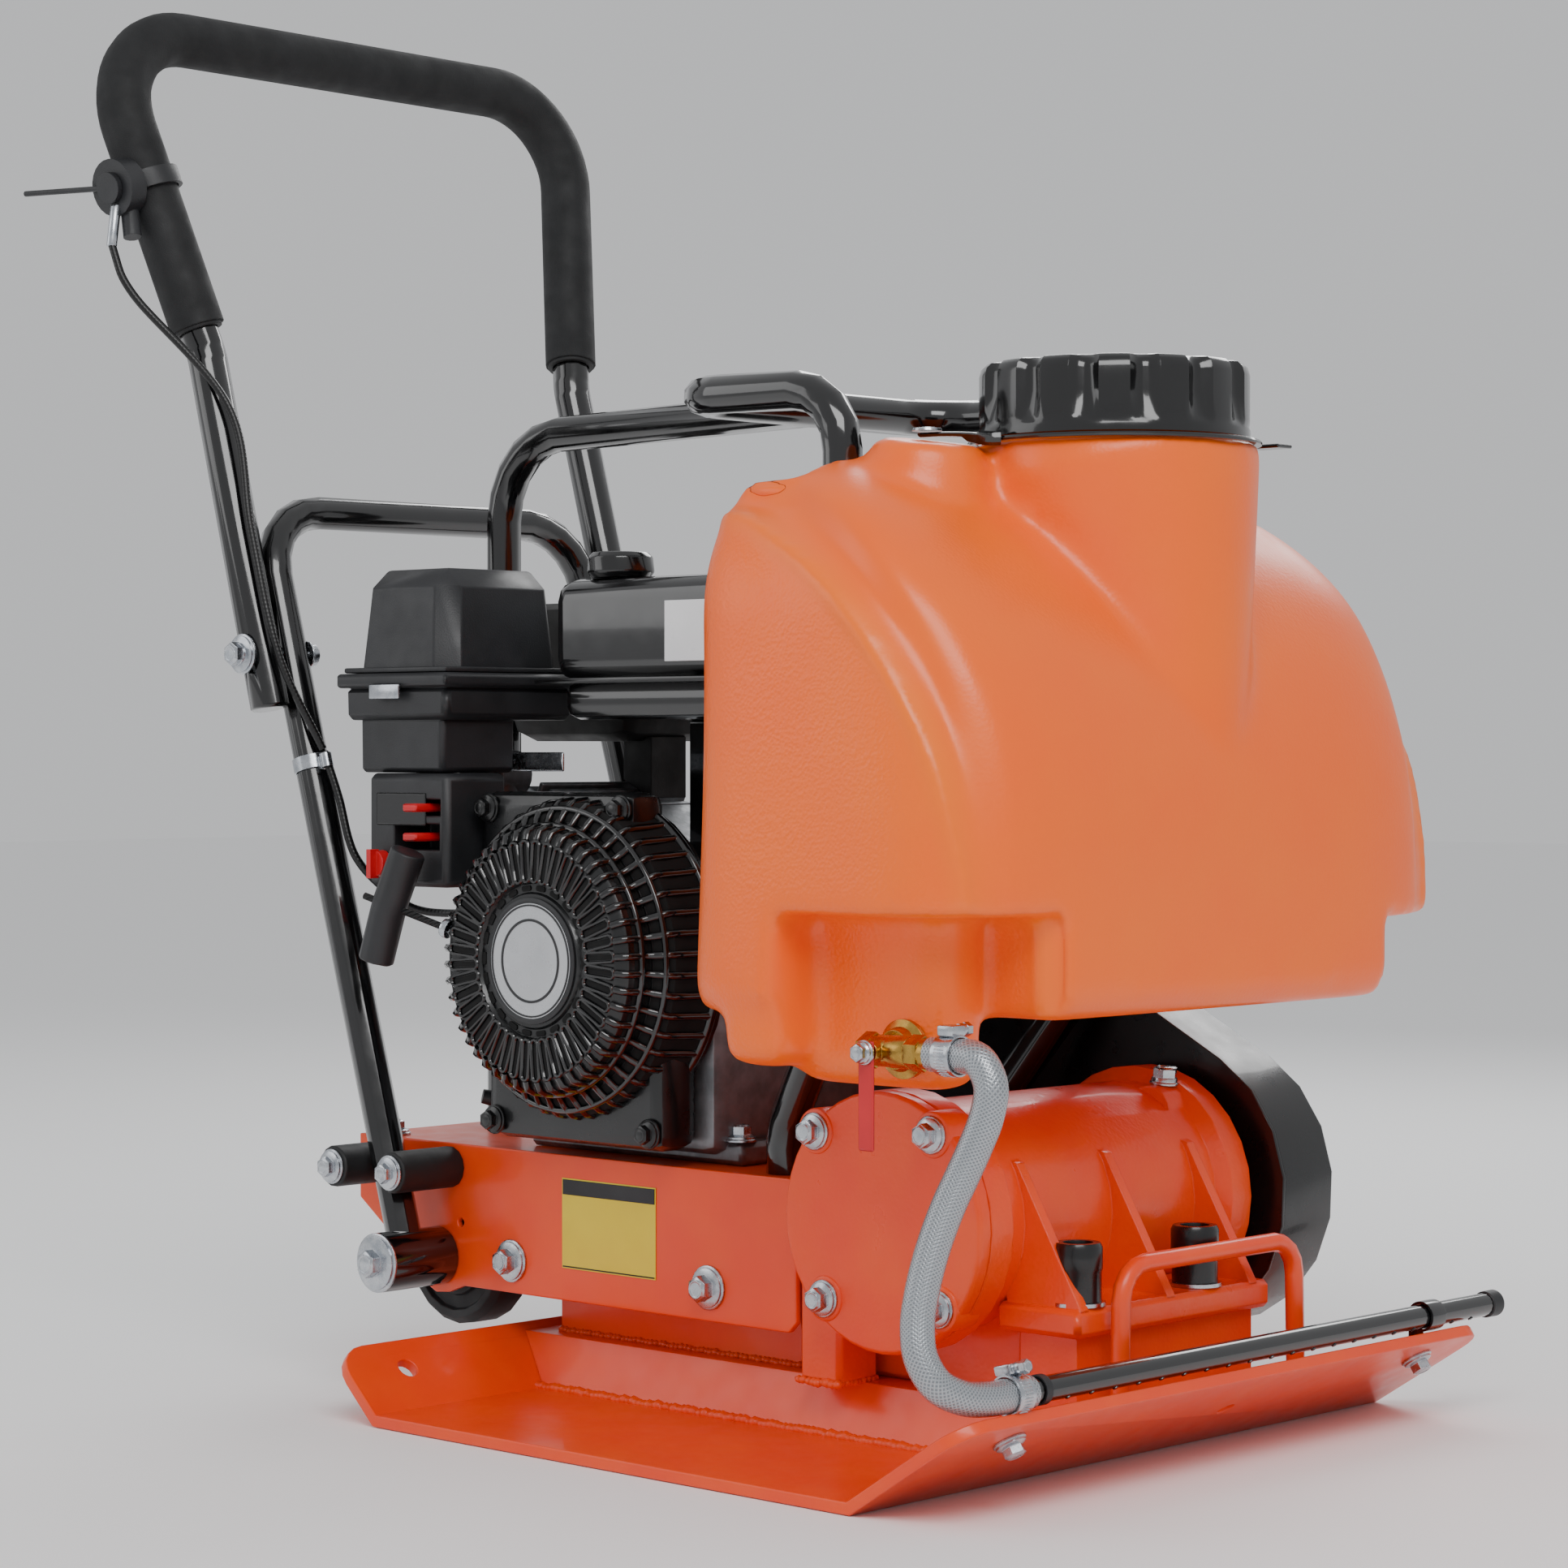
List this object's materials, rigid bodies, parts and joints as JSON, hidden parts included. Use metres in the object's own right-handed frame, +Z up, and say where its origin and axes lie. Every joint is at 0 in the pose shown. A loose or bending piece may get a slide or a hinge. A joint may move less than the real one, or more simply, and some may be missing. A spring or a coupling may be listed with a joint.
{
  "type": "plate compactor",
  "caption": "Walk-behind vibratory plate compactor with a belt-driven exciter, petrol engine on rubber mounts, water tank with sprinkler pipe, guard frame and folding handle.",
  "frame": {"origin": "middle of the sole plate's flat underside, on the ground", "axes": "+X is the way it travels, -Y the side with the pull starter, +Y the belt side, +Z up"},
  "size_m": [0.8225, 0.5158, 0.8879],
  "materials": {
    "orange_paint": "glossy orange-red powder coat",
    "orange_tank": "satin orange blow-moulded polyethylene with a fine grain",
    "black_paint": "gloss black enamel",
    "black_plastic": "satin black moulded plastic",
    "black_foam": "matt black closed-cell foam",
    "rubber": "matt black rubber",
    "zinc": "bright zinc plate",
    "steel": "ground and machined steel",
    "cast_aluminium": "as-cast aluminium",
    "brass": "turned brass",
    "red_plastic": "red moulded plastic",
    "clear_hose": "silvery braided clear hose"
  },
  "bodies": {
    "machine": {"base_plate": "orange_paint", "riser_frame": "orange_paint", "engine_deck": "orange_paint", "exciter_housing": "orange_paint", "exciter_cover": "orange_paint", "lifting_loop": "orange_paint", "belt_guard_plate": "orange_paint", "water_tank": "orange_tank", "guard_frame": "black_paint", "fan_housing": "black_paint", "recoil_cover": "black_paint", "fuel_tank": "black_paint", "muffler": "black_paint", "sprinkler_pipe": "black_paint", "belt_cover": "black_plastic", "air_cleaner_cover": "black_plastic", "air_cleaner_base": "black_plastic", "control_panel": "black_plastic", "isolator_rear_right": "rubber", "isolator_front_right": "rubber", "isolator_rear_left": "rubber", "isolator_front_left": "rubber", "bumper_rear_right": "rubber", "bumper_front_right": "rubber", "bumper_rear_left": "rubber", "bumper_front_left": "rubber", "v_belt": "rubber", "throttle_cable_lower": "rubber", "pivot_axle": "zinc", "exciter_bearing_left": "steel", "exciter_bearing_right": "steel", "crankcase": "cast_aluminium", "cylinder_head": "cast_aluminium", "carburettor": "cast_aluminium", "valve_body": "brass", "water_hose": "clear_hose"},
    "crank": {"crankshaft": "steel", "flywheel": "cast_aluminium", "clutch_drum": "steel"},
    "exciter_rotor": {"eccentric_shaft": "steel", "exciter_pulley": "cast_aluminium"},
    "starter_grip": {"starter_handle": "black_plastic", "starter_rope": "black_foam"},
    "choke": {"choke_lever": "red_plastic"},
    "fuel_valve": {"fuel_valve_lever": "red_plastic"},
    "switch": {"engine_switch": "red_plastic"},
    "water_valve": {"valve_lever": "red_plastic"},
    "tank_lid": {"tank_cap": "black_plastic"},
    "fuel_lid": {"fuel_cap": "black_plastic"},
    "governor": {"throttle_arm": "zinc"},
    "lower_grip_frame": {"lower_handle": "black_paint", "fold_bolt_right": "zinc", "fold_bolt_left": "zinc"},
    "upper_grip_frame": {"upper_handle": "black_paint", "foam_grip": "black_foam", "throttle_housing": "black_plastic", "throttle_cable_upper": "rubber"},
    "throttle": {"throttle_lever": "black_plastic"},
    "wheel_right": {"transport_wheel_right": "rubber"},
    "wheel_left": {"transport_wheel_left": "rubber"}
  },
  "joints": [
    {"name": "crank_spin", "type": "hinge", "parent": "machine", "child": "crank", "pos_m": [-0.148, 0, 0.2746], "axis": [0, 1, 0], "continuous": true},
    {"name": "exciter_spin", "type": "hinge", "parent": "machine", "child": "exciter_rotor", "pos_m": [0.092, 0, 0.136], "axis": [0, 1, 0], "continuous": true},
    {"name": "starter_pull", "type": "slide", "parent": "machine", "child": "starter_grip", "axis": [-0.9124, -0.2737, 0.3041], "range_m": [0, 0.55], "stiffness_N_per_m": 12, "springref_m": -0.5, "deforming": ["starter_rope"]},
    {"name": "choke_slide", "type": "slide", "parent": "machine", "child": "choke", "axis": [-1, 0, 0], "range_m": [0, 0.018]},
    {"name": "fuel_valve_slide", "type": "slide", "parent": "machine", "child": "fuel_valve", "axis": [-1, 0, 0], "range_m": [0, 0.018]},
    {"name": "engine_switch_turn", "type": "hinge", "parent": "machine", "child": "switch", "pos_m": [-0.296, -0.1573, 0.329], "axis": [0, 1, 0], "range_deg": [0, 90]},
    {"name": "water_valve_turn", "type": "hinge", "parent": "machine", "child": "water_valve", "pos_m": [0.168, -0.2218, 0.241], "axis": [0, -1, 0], "range_deg": [0, 90]},
    {"name": "tank_cap_turn", "type": "hinge", "parent": "machine", "child": "tank_lid", "pos_m": [0.156, 0, 0.5743], "axis": [0, 0, 1], "continuous": true},
    {"name": "fuel_cap_turn", "type": "hinge", "parent": "machine", "child": "fuel_lid", "pos_m": [-0.166, -0.078, 0.5043], "axis": [0, 0, 1], "continuous": true},
    {"name": "handle_rock", "type": "hinge", "parent": "machine", "child": "lower_grip_frame", "pos_m": [-0.2945, 0, 0.0815], "axis": [0, 1, 0], "range_deg": [-2, 2], "stiffness_Nm_per_rad": 600, "deforming": ["throttle_cable_lower"]},
    {"name": "handle_fold", "type": "hinge", "parent": "lower_grip_frame", "child": "upper_grip_frame", "pos_m": [-0.409, 0, 0.4605], "axis": [0, -1, 0], "range_deg": [0, 150], "deforming": ["throttle_cable_upper"]},
    {"name": "throttle_swing", "type": "hinge", "parent": "upper_grip_frame", "child": "throttle", "pos_m": [-0.49103, -0.21807, 0.76085], "axis": [0.0963, -0.9779, -0.1855], "range_deg": [0, 60]},
    {"name": "governor_swing", "type": "hinge", "parent": "machine", "child": "governor", "pos_m": [-0.218, -0.0862, 0.392], "axis": [0, -1, 0], "range_deg": [0, 20]},
    {"name": "wheel_spin_right", "type": "hinge", "parent": "machine", "child": "wheel_right", "pos_m": [-0.2945, -0.086, 0.0815], "axis": [0, 1, 0], "continuous": true},
    {"name": "wheel_spin_left", "type": "hinge", "parent": "machine", "child": "wheel_left", "pos_m": [-0.2945, 0.086, 0.0815], "axis": [0, 1, 0], "continuous": true}
  ],
  "couplings": [
    {"joint": "exciter_spin", "follows": "crank_spin", "ratio": 1.2927},
    {"joint": "governor_swing", "follows": "throttle_swing", "ratio": 0.3333}
  ]
}
